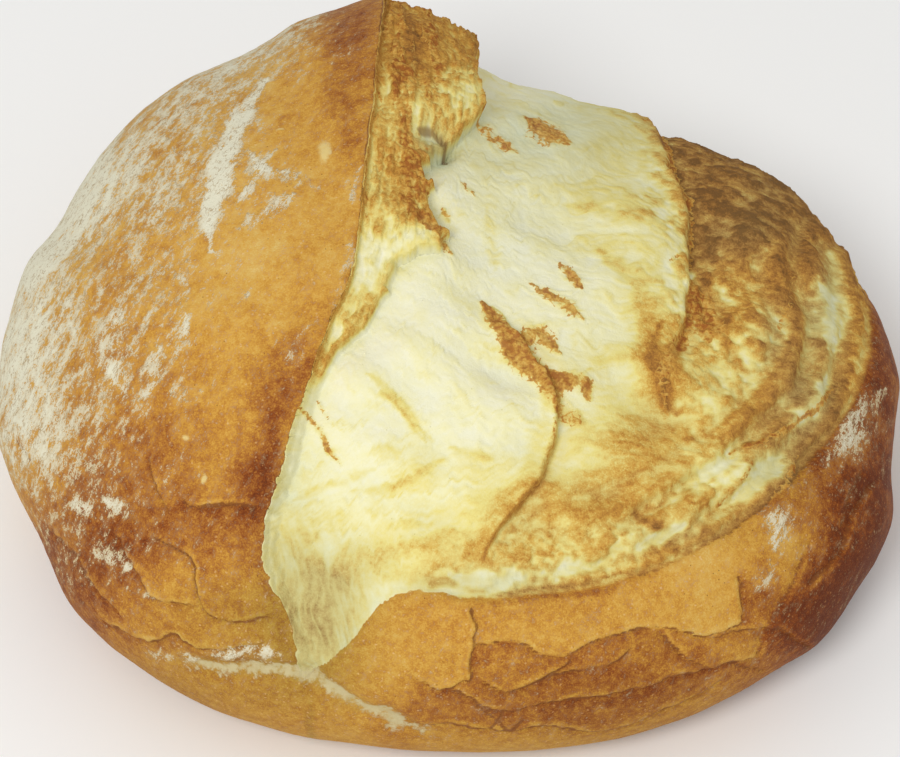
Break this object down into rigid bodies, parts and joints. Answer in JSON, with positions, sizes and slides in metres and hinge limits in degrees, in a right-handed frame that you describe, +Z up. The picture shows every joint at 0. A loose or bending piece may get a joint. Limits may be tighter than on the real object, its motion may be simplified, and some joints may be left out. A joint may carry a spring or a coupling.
{
  "type": "sourdough loaf",
  "caption": "Round crusty sourdough loaf, burst open along its top, with a high domed side, torn pale crumb and a flat base.",
  "frame": {"origin": "middle of the flat base, under the middle of the loaf's box", "axes": "+Z up from the base; the burst side faces -Y and the high dome is on the -X side"},
  "size_m": [0.2506, 0.2404, 0.1217],
  "materials": {
    "crust": "matte"
  },
  "bodies": {
    "root": {"loaf": "crust"}
  },
  "joints": []
}
